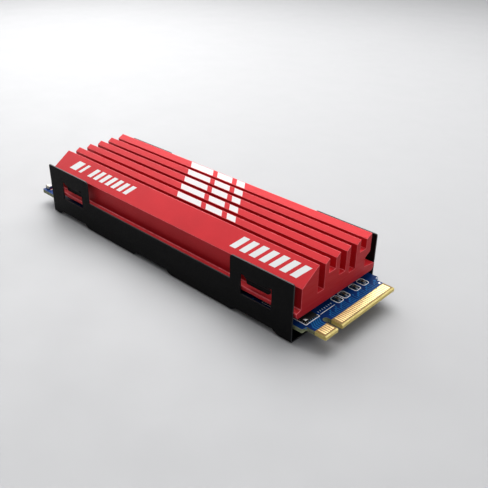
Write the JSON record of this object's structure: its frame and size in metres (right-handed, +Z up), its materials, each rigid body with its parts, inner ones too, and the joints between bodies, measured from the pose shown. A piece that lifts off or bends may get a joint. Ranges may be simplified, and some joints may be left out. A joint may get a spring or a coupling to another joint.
{
  "type": "solid state drive",
  "caption": "Card-form solid state drive: a red finned heat sink held on a blue board by a folded black steel bracket, with a gold card edge.",
  "frame": {"origin": "centre of the bracket's underside, the lowest face; the board's underside is 2.6 mm above it", "axes": "+X along the board, out of the card edge; +Z up out of the fins; the key notch is on the -Y side"},
  "size_m": [0.08, 0.0234, 0.0129],
  "materials": {
    "red_anodised": "satin red anodised, fine bead-blasted grain",
    "black_steel": "matt black powder coat on thin sheet steel",
    "blue_board": "blue solder mask over glass-fibre board",
    "plated_gold": "hard gold plating",
    "thermal_pad": "soft silicone, matt",
    "chip_moulding": "fine matt epoxy moulding",
    "nickel_lid": "satin nickel plating",
    "inductor_core": "pressed ferrite powder",
    "solder_tin": "tin plating",
    "pale_ceramic": "glazed pale ceramic",
    "capacitor_ceramic": "fired brown ceramic",
    "resistor_glaze": "black glaze",
    "white_print": "white screen print on the heat sink and the board"
  },
  "bodies": {
    "root": {"heat_sink": "red_anodised", "retaining_bracket": "black_steel", "circuit_board": "blue_board", "mounting_pad_top": "plated_gold", "mounting_pad_bottom": "plated_gold", "edge_contacts_top": "plated_gold", "edge_contacts_bottom": "plated_gold", "thermal_pad_upper": "thermal_pad", "thermal_pad_lower": "thermal_pad", "controller_package": "chip_moulding", "controller_lid": "nickel_lid", "memory_package_top": "chip_moulding", "memory_package_bottom": "chip_moulding", "flash_package_1": "chip_moulding", "flash_package_2": "chip_moulding", "flash_package_3": "chip_moulding", "flash_package_4": "chip_moulding", "power_manager_chip": "chip_moulding", "load_switch_chip": "chip_moulding", "boot_memory_chip": "chip_moulding", "step_down_chips": "chip_moulding", "inductor_cores": "inductor_core", "inductor_terminals": "solder_tin", "clock_crystal_base": "pale_ceramic", "clock_crystal_lid": "nickel_lid", "bulk_capacitor_bodies": "capacitor_ceramic", "bulk_capacitor_terminals": "solder_tin", "coupling_capacitor_bodies": "capacitor_ceramic", "coupling_capacitor_terminals": "solder_tin", "decoupling_capacitors_top": "capacitor_ceramic", "decoupling_terminals_top": "solder_tin", "decoupling_capacitors_bottom": "capacitor_ceramic", "decoupling_terminals_bottom": "solder_tin", "resistor_bodies": "resistor_glaze", "resistor_terminals": "solder_tin", "end_capacitor_body": "pale_ceramic", "end_capacitor_terminals": "solder_tin", "temperature_sensor": "chip_moulding"}
  },
  "joints": []
}
